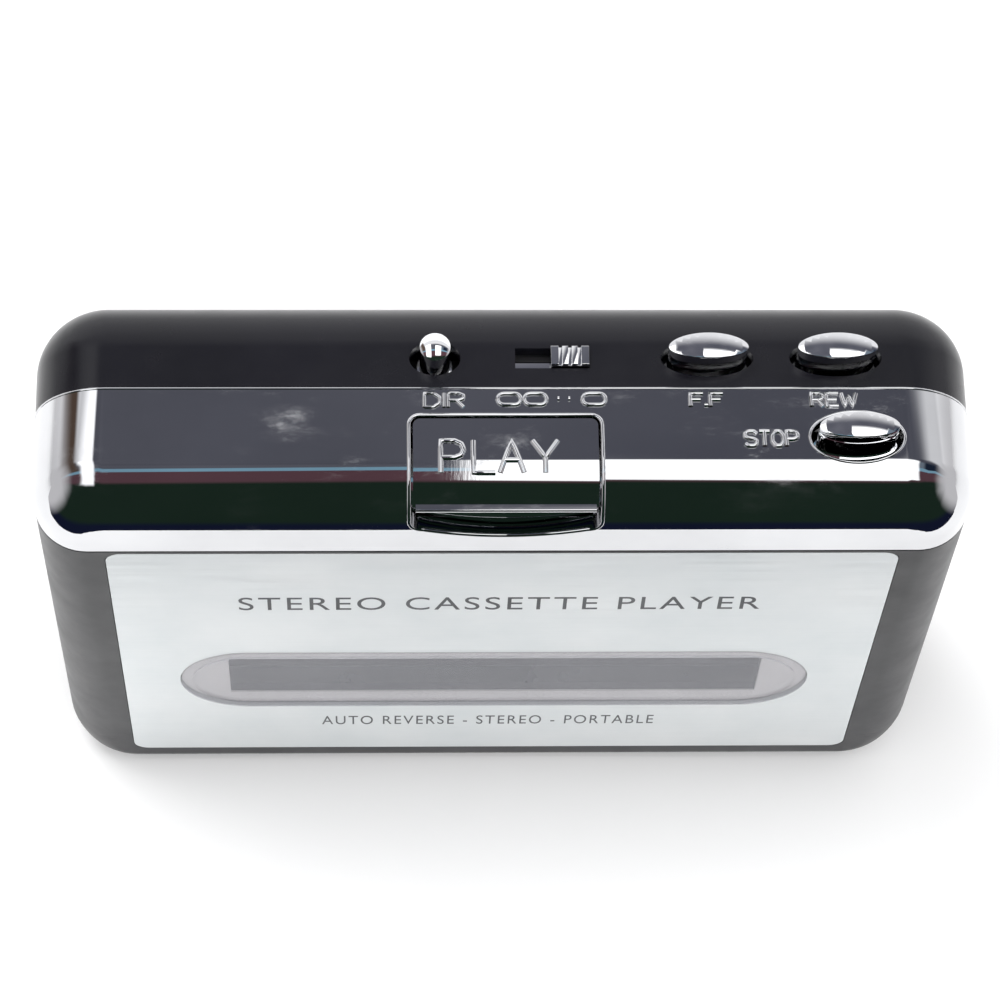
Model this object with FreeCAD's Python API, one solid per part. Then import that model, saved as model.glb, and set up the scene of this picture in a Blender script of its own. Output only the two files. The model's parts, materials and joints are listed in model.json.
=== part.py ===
"""Pocket stereo cassette player that stands on its long lower edge.

X is the width, +Y points from the cassette door to the back, Z is up. The origin is the centre of the base.
Each function below builds one piece or one set of like pieces, and main() writes one STEP file per node.
All lengths are in millimetres.
"""
import FreeCAD
import Part
import math
import os

V = FreeCAD.Vector

# ---- casing --------------------------------------------------------------------------------------
WIDTH = 114.0
DEPTH = 30.0
HEIGHT = 82.0
WALL = 1.8
CORNER_R = 9.0            # corners of the outline seen from the front
EDGE_R = 6.5              # rounding round the front face
BACK_EDGE_R = 8.4         # and round the back
BASE_EDGE_R = 3.0
HALF_W, HALF_D = WIDTH / 2, DEPTH / 2
FRONT, BACK = -HALF_D, HALF_D
SEAM_Y = 1.1              # front parts meet the rear shell here
SEAM_GAP = 0.15

# ---- cassette reels ------------------------------------------------------------------------------
REEL_X = 21.25
REEL_Z = 31.5
SPINDLE_TIP_Y = -8.5

# ---- door ----------------------------------------------------------------------------------------
HINGE_Y, HINGE_Z = -11.2, 6.4
HINGE_PIN_R = 0.8
DOOR_BASE_Z = 0.45
TOP_SWING_R, TRIM_SWING_R = 63.3, 63.6        # door top and trim, as radii about the hinge
FLOOR_SWING_R = (6.9, 7.2)                    # door floor and shell floor
CORNER_SWING_R = (12.1, 12.35)                # door and shell at the lower corners
FLOOR_HALF_W = 52.2
PLATE_T = 0.8
PLATE_HALF_W = 48.4
PLATE_Z = (4.8, 69.05)
PLATE_CORNER_R = 2.0
WINDOW_Z = 29.0
LENS_W, LENS_H = 82.0, 18.0
SIGHT_W, SIGHT_H = 69.4, 11.2

# ---- deck layers, measured along Y ---------------------------------------------------------------
DECK_Y = (0.0, 1.0)
GEAR_Y = (1.5, 2.9)
BELT_Y = (3.7, 4.7)
FLYWHEEL_Y = (3.3, 7.0)
BRIDGE_Y = (7.6, 8.4)
BOARD_Y = (9.6, 10.8)

# ---- drive ---------------------------------------------------------------------------------------
CAPSTAN_X, CAPSTAN_Z, CAPSTAN_R = 22.0, 59.5, 1.0
FLYWHEEL_R = 12.0
MOTOR_X, MOTOR_Z, MOTOR_R = 42.5, 30.0, 10.2
MOTOR_Y = (5.6, 12.2)
MOTOR_PULLEY_R = 2.2
IDLER_X, IDLER_Z, IDLER_R = 45.0, 64.0, 2.4
BELT_T = 0.8
BELT_GAP = 0.06
GEAR_MODULE = 0.5
PINION_TEETH, IDLE_TEETH, REEL_TEETH = 16, 30, 36
PRESSURE_ANGLE = 20.0
BACKLASH = 0.14

# ---- keys ----------------------------------------------------------------------------------------
STEM_BASE_Z = 74.9
OVAL_W, OVAL_D = 9.6, 3.3           # caps of the rewind, wind and stop keys
OVAL_HOLE_W, OVAL_HOLE_D, STOP_HOLE_D = 11.2, 5.0, 6.5
WIND_X, REWIND_X, STRIP_Y = 24.5, 40.1, 5.0
STOP_X, STOP_Y = 42.2, -5.6
DIRECTION_X, DIRECTION_R = -8.4, 1.85
DIRECTION_HOLE_W, DIRECTION_HOLE_D = 6.2, 4.6
CAP_RISE, CAP_DOME_R = 3.6, 20.0
GROOVE_DROP, GROOVE_H = 1.75, 0.35
MODE_X, MODE_W, MODE_D = 5.8, 9.0, 2.7
MODE_KNOB_W = 4.6
PLAY_HALF_W, PLAY_BACK_Y, PLAY_BASE_Z, PLAY_BOW_R = 11.1, -3.1, 78.9, 260.0
PLAY_LEDGE_Y, PLAY_LEDGE_Z = (-14.3, -13.0), (79.2, 79.75)
PLAY_GAP = 0.3
PLAY_TRAVEL = 2.2
NOTCH_BASE_Z, NOTCH_BOW_R = 74.3, 30.0
POCKET_INSET, POCKET_T = 1.7, 0.8
KEY_GUIDE_Z = (75.5, 76.3)

# ---- pressing parts that follow the play key -----------------------------------------------------
ROLLER_R, ROLLER_Z = 3.5, 68.6
ARM_PIVOT_X, ARM_PIVOT_Z = 32.0, 71.0

# ---- power and sockets ---------------------------------------------------------------------------
CELL_R, CELL_Y, CELL_Z = 7.0, 6.15, 9.3
CELL_BODY, CELL_NUB = 49.2, 1.3
TRAY_Y, TRAY_Z, TRAY_T = -1.8, 17.2, 0.8
COVER_HALF_W, COVER_Z = 51.0, (2.4, 17.0)
COVER_T = 1.4
JACK_Y, JACK_Z, JACK_BORE_R = 8.0, 52.0, 1.8
USB_Y, USB_Z = 7.6, 28.0
WHEEL_X, WHEEL_Z, WHEEL_R = -49.6, 50.0, 8.2
WHEEL_Y = (6.2, 8.2)
SCREW_PLACES = ((-52.2, 20.2), (52.2, 20.2), (-50.6, 67.0), (50.6, 67.0))
BOSS_R = 2.1


# ---- basic shapes --------------------------------------------------------------------------------
def box(x0, x1, y0, y1, z0, z1):
    return Part.makeBox(x1 - x0, y1 - y0, z1 - z0, V(x0, y0, z0))


def rod_x(y, z, r, x0, x1):
    return Part.makeCylinder(r, x1 - x0, V(x0, y, z), V(1, 0, 0))


def rod_y(x, z, r, y0, y1):
    return Part.makeCylinder(r, y1 - y0, V(x, y0, z), V(0, 1, 0))


def rod_z(x, y, r, z0, z1):
    return Part.makeCylinder(r, z1 - z0, V(x, y, z0), V(0, 0, 1))


def joined(shapes):
    first, rest = shapes[0], shapes[1:]
    whole = first.fuse(rest) if rest else first
    return whole.removeSplitter()


def cut(shape, *tools):
    return shape.cut(list(tools)) if tools else shape


def mirrored(shape):
    return shape.mirror(V(0, 0, 0), V(1, 0, 0))


def both_sides(shape):
    return Part.makeCompound([mirrored(shape), shape])


def oval_z(x, y, width, depth, z0, z1):
    """Upright prism with an elliptical outline."""
    ellipse = Part.Ellipse(V(x, y, z0), width / 2, depth / 2)
    return Part.Face(Part.Wire(ellipse.toShape())).extrude(V(0, 0, z1 - z0))


def stadium_y(x, z, width, height, y0, y1):
    """Prism along Y whose outline is a bar with round ends."""
    r = height / 2
    middle = box(x - width / 2 + r, x + width / 2 - r, y0, y1, z - r, z + r)
    ends = [rod_y(x + side * (width / 2 - r), z, r, y0, y1) for side in (-1, 1)]
    return joined([middle] + ends)


def rounded_plate_y(half_w, z0, z1, r, y0, y1):
    plate = box(-half_w, half_w, y0, y1, z0, z1)
    corners = [e for e in plate.Edges if abs(e.BoundBox.YLength - (y1 - y0)) < 1e-6]
    return plate.makeFillet(r, corners)


def rounded(shape, radius, wanted):
    return shape.makeFillet(radius, [e for e in shape.Edges if wanted(e)])


# ---- casing --------------------------------------------------------------------------------------
def outline_face(half_w, top, base, r, y):
    """Face at depth y: a rectangle with round corners."""
    middle_z, bow = (top + base) / 2, r * (1 - math.sqrt(0.5))
    corners = [(half_w, top, 1, 1), (-half_w, top, -1, 1), (-half_w, base, -1, -1), (half_w, base, 1, -1)]
    edges = []
    last = V(half_w, y, middle_z)
    for x, z, sx, sz in corners:
        on_side, on_end = V(x, y, z - sz * r), V(x - sx * r, y, z)
        start, end = (on_side, on_end) if sx == sz else (on_end, on_side)
        edges.append(Part.makeLine(last, start))
        edges.append(Part.Arc(start, V(x - sx * bow, y, z - sz * bow), end).toShape())
        last = end
    edges.append(Part.makeLine(last, V(half_w, y, middle_z)))
    return Part.Face(Part.Wire(edges))


def envelope(inset):
    """The casing's outer form, or with an inset the hollow inside it.

    The base has a smaller rounding. The hollow is less round at the back than the outside, so the
    wall thins there.
    """
    half_w, top, base = HALF_W - inset, HEIGHT - inset, inset
    r, base_r = CORNER_R - inset, BASE_EDGE_R - 0.7 * inset
    block = outline_face(half_w, top, base, r, FRONT + inset).extrude(V(0, DEPTH - 2 * inset, 0))
    document = FreeCAD.newDocument()
    source = document.addObject("Part::Feature", "block")
    source.Shape = block
    rounding = document.addObject("Part::Fillet", "rounding")
    rounding.Base = source
    radii = []
    for number, edge in enumerate(block.Edges, 1):
        bounds = edge.BoundBox
        if bounds.YLength > 1e-6:
            continue
        edge_r = BACK_EDGE_R if inset == 0 and bounds.YMin > 0 else EDGE_R - inset
        at_base = [abs(edge.valueAt(t).z - base) < 1e-6 for t in edge.ParameterRange]
        start_r, end_r = [base_r if low else edge_r for low in at_base]
        radii.append((number, start_r, end_r))
    rounding.Edges = radii
    document.recompute()
    form = rounding.Shape.Solids[0].copy()
    FreeCAD.closeDocument(document.Name)
    return form


def hinge_rod(r, half_length):
    """Cylinder about the door's hinge line, for parts that must clear each other as the door turns."""
    return rod_x(HINGE_Y, HINGE_Z, r, -half_length, half_length)


def rear_shell(outer, inner):
    """Back half of the casing, with the top strip, the side walls and the floor under the battery bay."""
    back_half = box(-80, 80, SEAM_Y, 40, -5, 90)
    low = box(-80, 80, HINGE_Y + 2, 40, -5, HINGE_Z)
    corners = cut(low, hinge_rod(CORNER_SWING_R[1], 90), box(-FLOOR_HALF_W, FLOOR_HALF_W, -40, 40, -5, 40))
    centre = box(-FLOOR_HALF_W, FLOOR_HALF_W, -40, 40, -5, HINGE_Z)
    floor = cut(low, hinge_rod(FLOOR_SWING_R[1], 90)).common(centre)
    shell = outer.cut(inner).common(joined([back_half, corners, floor]))
    bosses = [rod_y(x, z, BOSS_R, DECK_Y[1], BACK - 1.0) for x, z in SCREW_PLACES]
    shell = joined([shell] + bosses)
    holes = [rod_y(x, z, 1.0, -1, BACK + 1) for x, z in SCREW_PLACES]
    holes += [rod_y(x, z, 1.9, BACK - 1.9, BACK + 1) for x, z in SCREW_PLACES]
    holes += key_holes()
    half_w, half_d = MODE_W / 2, MODE_D / 2
    holes.append(box(MODE_X - half_w, MODE_X + half_w, STRIP_Y - half_d, STRIP_Y + half_d, 79, 84))
    holes.append(rod_x(JACK_Y, JACK_Z, 3.1, 52, 60))
    holes.append(box(-60, -52, USB_Y - 2.1, USB_Y + 2.1, USB_Z - 4.1, USB_Z + 4.1))
    holes.append(box(-60, -52, WHEEL_Y[0] - 0.4, WHEEL_Y[1] + 0.4, WHEEL_Z - 7.2, WHEEL_Z + 7.2))
    holes.append(box(-COVER_HALF_W + 1.2, COVER_HALF_W - 1.2, 10, 20, COVER_Z[0] + 0.9, COVER_Z[1] - 0.9))
    holes.append(battery_cover_blank(0.15))
    return cut(shell, *holes)


def key_holes():
    """Openings in the top strip for the three keys that stand in it."""
    direction = oval_z(DIRECTION_X, STRIP_Y, DIRECTION_HOLE_W, DIRECTION_HOLE_D, 79, 84)
    winds = [oval_z(x, STRIP_Y, OVAL_HOLE_W, OVAL_HOLE_D, 79, 84) for x in (WIND_X, REWIND_X)]
    return [direction] + winds


def notch(half_w, back_y, base_z, back_r, low_r, bow_r):
    """Slot open at the top front edge, with rounded corners and a lower edge that bows down."""
    slot = box(-half_w, half_w, FRONT - 3, back_y, base_z - 5, HEIGHT + 3)
    bow = rod_y(0, base_z + bow_r, bow_r, FRONT - 4, back_y + 1)
    slot = slot.common(bow)

    def low_corner(e):
        return e.BoundBox.YLength > 8 and e.BoundBox.XLength < 1e-6 and e.BoundBox.ZMax < HEIGHT + 1

    def back_corner(e):
        return e.BoundBox.ZLength > 2 and e.BoundBox.XLength < 1e-6 and e.BoundBox.YMin > back_y - 1e-3

    slot = slot.makeFillet(low_r, [e for e in slot.Edges if low_corner(e)])
    return slot.makeFillet(back_r, [e for e in slot.Edges if back_corner(e)])


def chrome_trim(outer, inner):
    """Plated band over the top front edge, with the play key's opening and the stop key's hole."""
    region = cut(box(-80, 80, -40, SEAM_Y, 60, 90), hinge_rod(TRIM_SWING_R, 90))
    trim = outer.cut(inner).common(region)
    opening = notch(PLAY_HALF_W + PLAY_GAP, PLAY_BACK_Y + PLAY_GAP, NOTCH_BASE_Z, 1.2, 1.5, NOTCH_BOW_R)
    trim = cut(trim, opening, oval_z(STOP_X, STOP_Y, OVAL_HOLE_W, STOP_HOLE_D, 79, 84))
    tongues = [box(x, x + 6, SEAM_Y - 1.5, SEAM_Y + 2.4, 78.9, 79.9) for x in (-44, -24, 12)]
    webs = [box(x, x + 6, SEAM_Y - 1.5, SEAM_Y - 0.3, 78.9, 80.6) for x in (-44, -24, 12)]
    return joined([trim, play_pocket()] + tongues + webs)


def play_pocket():
    """Dished wall behind the play key's lower edge, set in so the pressed key clears it."""
    drop = V(0, 0, -PLAY_TRAVEL)
    face, rear = envelope(POCKET_INSET), envelope(POCKET_INSET + POCKET_T)
    skin = cut(face.translated(drop), rear.translated(drop)).common(box(-12.6, 12.6, -15, -8.9, 71.5, 79.0))
    side = PLAY_HALF_W + PLAY_GAP + 0.1
    cheek = box(side, side + 0.8, FRONT, -8.9, 71.5, 79.4).common(envelope(0.9)).cut(rear.translated(drop))
    return joined([skin, cheek, mirrored(cheek)])


# ---- door ----------------------------------------------------------------------------------------
def door_frame(outer, inner):
    """Front cover: a shallow tray that turns on two pins near its lower edge."""
    region = box(-80, 80, -40, SEAM_Y - SEAM_GAP, DOOR_BASE_Z, 80).common(hinge_rod(TOP_SWING_R, 90))
    low = box(-80, 80, HINGE_Y, 40, -5, HINGE_Z)
    centre = box(-FLOOR_HALF_W - 0.2, FLOOR_HALF_W + 0.2, HINGE_Y, 40, -5, HINGE_Z)
    low_corners = cut(low, hinge_rod(CORNER_SWING_R[0], 90))
    low_centre = cut(centre, hinge_rod(FLOOR_SWING_R[0], 90))
    tray = cut(outer.cut(inner).common(region), low_corners, low_centre)
    boss = rod_x(HINGE_Y, HINGE_Z, 1.9, 52.3, 55.4).common(outer)
    rib = box(-43, 43, FRONT + WALL - 0.1, FRONT + WALL + 1.0, 66.6, 67.8)
    tray = joined([tray, boss, mirrored(boss), rib])
    bore = rod_x(HINGE_Y, HINGE_Z, HINGE_PIN_R, 51, 54.3)
    low, high = PLATE_Z[0] - 0.1, PLATE_Z[1] + 0.1
    recess = rounded_plate_y(PLATE_HALF_W + 0.1, low, high, PLATE_CORNER_R, FRONT - 1, FRONT + PLATE_T)
    return cut(tray, bore, mirrored(bore), recess, sight_block())


def sight_block():
    """Block that cuts the clear part of the window through the door and the film."""
    half_w, half_h = SIGHT_W / 2, SIGHT_H / 2
    return box(-half_w, half_w, FRONT - 1, FRONT + 5, WINDOW_Z - half_h, WINDOW_Z + half_h)


def door_hinge_pin():
    return rod_x(HINGE_Y, HINGE_Z, HINGE_PIN_R, 49.9, 54.3)


def door_plate():
    """Satin metal panel glued into the door, with the long window opening."""
    plate = rounded_plate_y(PLATE_HALF_W, PLATE_Z[0], PLATE_Z[1], PLATE_CORNER_R, FRONT, FRONT + PLATE_T)
    return cut(plate, stadium_y(0, WINDOW_Z, LENS_W + 0.2, LENS_H + 0.2, FRONT - 1, FRONT + 2))


def window_lens():
    """Clear lens with a raised rim, set into the panel."""
    body = stadium_y(0, WINDOW_Z, LENS_W, LENS_H, FRONT - 0.15, FRONT + 0.6)
    dish = stadium_y(0, WINDOW_Z, LENS_W - 3.0, LENS_H - 3.0, FRONT - 1, FRONT + 0.15)
    return cut(body, dish)


def window_mask():
    """Thin printed film behind the lens, clear only over the sight opening."""
    film = stadium_y(0, WINDOW_Z, LENS_W, LENS_H, FRONT + 0.6, FRONT + PLATE_T)
    return cut(film, sight_block())


def cassette_guide():
    """Pocket rail on the door's inside that carries one end of the cassette."""
    base = box(50.6, 52.2, -12.4, -2.4, 14.0, 58.0)
    foot = box(51.0, 55.6, -12.4, -11.2, 14.0, 58.0)
    lip = box(47.6, 52.2, -2.4, -1.4, 20.0, 46.0)
    return joined([base, foot, lip]).common(envelope(WALL))


def pressure_spring():
    """Leaf spring on the door's inside that holds the cassette against the deck."""
    t = 0.25
    y0 = FRONT + WALL
    strip = box(8.0, 34.0, y0, y0 + t, 45.0, 50.0)
    rise = 1.1
    profile = [(8.0, y0), (8.0, y0 + t), (1.5, y0 + t + rise), (1.5, y0 + rise), (8.0, y0)]
    path = Part.Face(Part.makePolygon([V(x, y, 45) for x, y in profile])).extrude(V(0, 0, 5))
    rivets = [rod_y(x, 47.5, 0.9, y0 + t, y0 + t + 0.4) for x in (14, 28)]
    return joined([strip, path] + rivets)


def door_latch():
    """Hook on the door's side wall that catches the deck's edge."""
    stem = box(54.0, 55.2, -6.0, -0.3, 61.0, 64.0)
    nose = box(53.2, 54.1, -1.3, -0.3, 61.0, 64.0)
    return joined([stem, nose])


# ---- frames --------------------------------------------------------------------------------------
def deck_plate():
    """Steel chassis that carries the drive in front of and behind it."""
    plate = box(-54.6, 54.6, DECK_Y[0], DECK_Y[1], TRAY_Z + 0.3, 72.0)
    round_off = rod_y(46.5, 64.5, 8.2, -2, 4)
    trim_corner = box(46.5, 60, -1, 3, 64.5, 74).cut(round_off)
    holes = [rod_y(s * CAPSTAN_X, CAPSTAN_Z, 2.0, -2, 3) for s in (-1, 1)]
    holes += [rod_y(s * REEL_X, REEL_Z, 1.6, -2, 3) for s in (-1, 1)]
    holes += [rod_y(x, z, 0.85, -2, 3) for x, z in SCREW_PLACES]
    holes += [rod_y(x, z, 0.6, -2, 3) for x, z in deck_screw_places()]
    holes += [rod_y(s * 33.5, 61.5, 1.1, -2, 3) for s in (-1, 1)]
    light = [stadium_y(0, z, 15, 5, -2, 3) for z in (24.0, 34.0)]
    return cut(plate, trim_corner, mirrored(trim_corner), *holes, *light)


def deck_screw_places():
    return ((-40.0, 24.0), (12.0, 66.5), (-12.0, 66.5), (36.0, 46.0), (-36.0, 46.0))


def battery_frame():
    """Moulded channel between the cassette and the cells, with the two arms that carry the door."""
    front = box(-FLOOR_HALF_W, FLOOR_HALF_W, TRAY_Y, TRAY_Y + TRAY_T, 0, TRAY_Z)
    top = box(-FLOOR_HALF_W, FLOOR_HALF_W, TRAY_Y, 12.9, TRAY_Z - 0.7, TRAY_Z)
    end = box(53.2, 54.0, SEAM_Y + 0.3, 12.9, 0, TRAY_Z)
    shelf = box(52.0, 54.0, SEAM_Y + 0.3, 12.9, TRAY_Z - 0.7, TRAY_Z)
    arm = box(50.6, 52.0, HINGE_Y - 1.7, TRAY_Y + 0.1, HINGE_Z + 2.4, HINGE_Z + 5.2)
    post = box(50.6, 52.0, HINGE_Y - 1.7, HINGE_Y + 1.7, HINGE_Z, HINGE_Z + 2.5)
    eye = rod_x(HINGE_Y, HINGE_Z, 1.7, 50.6, 52.0)
    side = joined([end, shelf, arm, post, eye])
    frame = joined([front, top, side, mirrored(side)]).common(envelope(WALL + 0.2))
    bore = rod_x(HINGE_Y, HINGE_Z, HINGE_PIN_R + 0.06, 50, 53)
    return cut(frame, bore, mirrored(bore))


def flywheel_bridge():
    """Plate behind the flywheels with a thrust cup for each capstan and two feet on the deck."""
    plate = box(-38.5, 38.5, BRIDGE_Y[0], BRIDGE_Y[1], 55.0, 64.0)
    cups = [rod_y(s * CAPSTAN_X, CAPSTAN_Z, 3.0, BRIDGE_Y[0] - 0.2, BRIDGE_Y[1] + 0.4) for s in (-1, 1)]
    foot = box(36.3, 38.5, DECK_Y[1], BRIDGE_Y[0], 55.0, 57.2)
    return joined([plate] + cups + [foot, mirrored(foot)])


def key_guide():
    """Moulded comb under the top wall that keeps the key stems upright."""
    z0, z1 = KEY_GUIDE_Z
    comb = box(-14.0, 46.0, 2.6, 7.6, z0, z1)
    slots = []
    for x in (WIND_X, REWIND_X):
        slots.append(box(x - 2.15, x + 2.15, STRIP_Y - 0.9, STRIP_Y + 0.9, z0 - 1, z1 + 1))
    slots.append(rod_z(DIRECTION_X, STRIP_Y, 1.35, z0 - 1, z1 + 1))
    post = box(-14.0, -12.4, 2.6, 7.6, z1, HEIGHT - WALL)
    far_post = box(31.5, 33.1, 2.6, 7.6, z1, HEIGHT - WALL)
    return cut(joined([comb, post, far_post]), *slots)


# ---- reels and gears -----------------------------------------------------------------------------
def gear(teeth, y0, y1, turn=0.0):
    """Involute spur gear round the Y axis. A tooth points along +X before it is turned."""
    pitch_r = GEAR_MODULE * teeth / 2
    base_r = pitch_r * math.cos(math.radians(PRESSURE_ANGLE))
    tip_r = pitch_r + 0.85 * GEAR_MODULE
    root_r = pitch_r - 1.2 * GEAR_MODULE
    inv = math.tan(math.radians(PRESSURE_ANGLE)) - math.radians(PRESSURE_ANGLE)
    half_tooth = math.pi / (2 * teeth) - BACKLASH / (2 * pitch_r)

    def flank_angle(r):
        a = math.acos(min(1.0, base_r / r))
        return half_tooth + inv - (math.tan(a) - a)

    start_r = max(base_r, root_r + 0.05)
    radii = [start_r + (tip_r - start_r) * k / 4 for k in range(5)]
    points = []
    for n in range(teeth):
        middle = 2 * math.pi * n / teeth + math.radians(turn)
        rising = [(root_r, middle - flank_angle(start_r))] + [(r, middle - flank_angle(r)) for r in radii]
        falling = [(r, 2 * middle - a) for r, a in reversed(rising)]
        points += [V(r * math.cos(a), y0, r * math.sin(a)) for r, a in rising + falling]
    outline = Part.makePolygon(points + points[:1])
    return Part.Face(outline).extrude(V(0, y1 - y0, 0))


def placed(shape, x, z):
    moved = shape.copy()
    moved.translate(V(x, 0, z))
    return moved


def gear_line():
    """Centres of the drive pinion, the idle gear and the reel gear, and the line's angle in degrees."""
    dx, dz = REEL_X - CAPSTAN_X, REEL_Z - CAPSTAN_Z
    angle = math.degrees(math.atan2(dz, dx))
    first = GEAR_MODULE * (PINION_TEETH + IDLE_TEETH) / 2
    x = CAPSTAN_X + first * math.cos(math.radians(angle))
    z = CAPSTAN_Z + first * math.sin(math.radians(angle))
    return x, z, angle


def meshing_turns():
    """How far each gear of the train is turned so that the teeth meet gaps along the line of centres."""
    _, _, angle = gear_line()
    pinion = angle                                   # a tooth points at the idle gear
    idle = angle + 180 + 180.0 / IDLE_TEETH          # a gap faces the pinion
    far_side = (angle - idle) % (360.0 / IDLE_TEETH)  # where the idle gear's teeth stand on the reel's side
    reel = angle + 180 + 180.0 / REEL_TEETH + far_side * IDLE_TEETH / REEL_TEETH
    return pinion, idle, reel


def reel_hub(x):
    """Spindle with a tapered nose and six ribs that drives the cassette's hub."""
    sleeve = rod_y(0, 0, 2.6, SPINDLE_TIP_Y + 1.6, -0.4)
    nose = Part.makeCone(1.5, 2.6, 1.6, V(0, SPINDLE_TIP_Y, 0), V(0, 1, 0))
    flange = rod_y(0, 0, 8.0, -1.4, -0.4)
    collar = rod_y(0, 0, 1.5, -0.4, GEAR_Y[1])
    ribs = []
    for n in range(6):
        rib = box(2.2, 3.9, SPINDLE_TIP_Y + 2.6, -1.4, -0.4, 0.4)
        ribs.append(rib.rotate(V(0, 0, 0), V(0, 1, 0), 60 * n))
    body = joined([sleeve, nose, flange, collar] + ribs)
    return placed(cut(body, rod_y(0, 0, 0.85, SPINDLE_TIP_Y + 1.2, 5)), x, REEL_Z)


def reel_gear(x, turn):
    """Gear ring pressed on the back end of a reel spindle."""
    ring = gear(REEL_TEETH, GEAR_Y[0], GEAR_Y[1], turn)
    return placed(cut(ring, rod_y(0, 0, 1.5, 0, 5)), x, REEL_Z)


def reel_bracket():
    """Strap behind the reel gears, standing on three feet, with the two pins that the reels turn on."""
    strap = box(-33.0, 33.0, 3.1, 3.6, 28.5, 34.5)
    feet = [box(x - 0.8, x + 0.8, DECK_Y[1], 3.1, 28.5, 34.5) for x in (-32.2, 32.2)]
    feet.append(box(-1.2, 1.2, DECK_Y[1], 3.1, 28.5, 31.2))
    pins = [rod_y(side * REEL_X, REEL_Z, 0.8, SPINDLE_TIP_Y + 1.5, 3.1) for side in (-1, 1)]
    return joined([strap] + feet + pins)


def idle_gear():
    x, z, _ = gear_line()
    _, turn, _ = meshing_turns()
    wheel = gear(IDLE_TEETH, GEAR_Y[0], GEAR_Y[1], turn)
    return placed(cut(wheel, rod_y(0, 0, 0.86, 0, 5)), x, z)


def gear_stud(x, z):
    """Shouldered pin standing on the deck behind a gear."""
    pin = rod_y(x, z, 0.8, DECK_Y[1], GEAR_Y[1] + 0.3)
    return joined([pin, rod_y(x, z, 1.6, DECK_Y[1], GEAR_Y[0] - 0.1)])


# ---- capstans, flywheels, motor and belt ---------------------------------------------------------
def flywheel(side, turn):
    """Heavy turned wheel with a belt groove, five light holes and the drive pinion at its front."""
    y0, y1 = FLYWHEEL_Y
    rim = rod_y(0, 0, FLYWHEEL_R, y0, y1)
    groove = cut(rod_y(0, 0, FLYWHEEL_R + 1, BELT_Y[0] - 0.15, BELT_Y[1] + 0.15),
                 rod_y(0, 0, FLYWHEEL_R - 1.0, 0, 9))
    dish = cut(rod_y(0, 0, FLYWHEEL_R - 2.2, y1 - 1.4, y1 + 1), rod_y(0, 0, 4.2, 0, 10))
    boss = rod_y(0, 0, 3.0, GEAR_Y[1], y0)
    pinion = gear(PINION_TEETH, GEAR_Y[0], GEAR_Y[1], turn)
    holes = []
    for n in range(5):
        a = math.radians(72 * n + 20)
        holes.append(rod_y(6.9 * math.cos(a), 6.9 * math.sin(a), 1.5, 0, 10))
    wheel = joined([cut(rim, groove, dish, *holes), boss, pinion])
    wheel = cut(wheel, rod_y(0, 0, CAPSTAN_R, 0, 10))
    return placed(wheel, side * CAPSTAN_X, CAPSTAN_Z)


def capstan(side):
    shaft = rod_y(side * CAPSTAN_X, CAPSTAN_Z, CAPSTAN_R, SPINDLE_TIP_Y - 0.1, BRIDGE_Y[0] - 0.25)
    return shaft


def capstan_bush(side):
    """Flanged bearing bush in the deck."""
    x = side * CAPSTAN_X
    bush = joined([rod_y(x, CAPSTAN_Z, 2.0, -0.7, DECK_Y[1]), rod_y(x, CAPSTAN_Z, 2.7, -0.7, 0.0)])
    return cut(bush, rod_y(x, CAPSTAN_Z, CAPSTAN_R + 0.05, -5, 5))


def motor():
    """Flat can motor with a stepped front boss and two solder tags."""
    can = rod_y(MOTOR_X, MOTOR_Z, MOTOR_R, MOTOR_Y[0], MOTOR_Y[1])
    can = rounded(can, 0.8, lambda e: abs(e.BoundBox.YMin - MOTOR_Y[1]) < 1e-3)
    boss = rod_y(MOTOR_X, MOTOR_Z, 2.0, MOTOR_Y[0] - 0.25, MOTOR_Y[0])
    boss = cut(boss, rod_y(MOTOR_X, MOTOR_Z, 0.8, 0, MOTOR_Y[0]))
    shaft_hole = rod_y(MOTOR_X, MOTOR_Z, 0.8, 0, MOTOR_Y[0] + 3.2)
    tags = []
    for x in (MOTOR_X - 6, MOTOR_X + 4.4):
        tags.append(box(x, x + 1.6, MOTOR_Y[1], MOTOR_Y[1] + 0.15, MOTOR_Z - 2, MOTOR_Z + 2))
    return joined([cut(can, shaft_hole), boss] + tags)


def motor_standoffs():
    """Three posts that hold the motor off the deck, clear of the belt."""
    posts = []
    for degrees in (-105, -15, 150):
        a = math.radians(degrees)
        x, z = MOTOR_X + 8.6 * math.cos(a), MOTOR_Z + 8.6 * math.sin(a)
        posts.append(rod_y(x, z, 1.1, DECK_Y[1], MOTOR_Y[0]))
    return Part.makeCompound(posts)


def pulley(x, z, r, bore_r):
    """Small flanged pulley for the belt."""
    y0, y1 = BELT_Y[0] - 0.15, BELT_Y[1] + 0.15
    flange = 0.35
    flanges = [rod_y(x, z, r + 0.7, y0 - flange, y0), rod_y(x, z, r + 0.7, y1, y1 + flange)]
    body = joined([rod_y(x, z, r, y0, y1)] + flanges)
    return cut(body, rod_y(x, z, bore_r, -1, 20))


def motor_pulley():
    shaft = rod_y(MOTOR_X, MOTOR_Z, 0.75, BELT_Y[0] - 1.2, MOTOR_Y[0] + 3.0)
    return joined([pulley(MOTOR_X, MOTOR_Z, MOTOR_PULLEY_R, 0.5), shaft])


def idler_post():
    foot = rod_y(IDLER_X, IDLER_Z, 1.6, DECK_Y[1], BELT_Y[0] - 0.75)
    return joined([foot, rod_y(IDLER_X, IDLER_Z, 0.8, DECK_Y[1], BELT_Y[1] + 0.9)])


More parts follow.
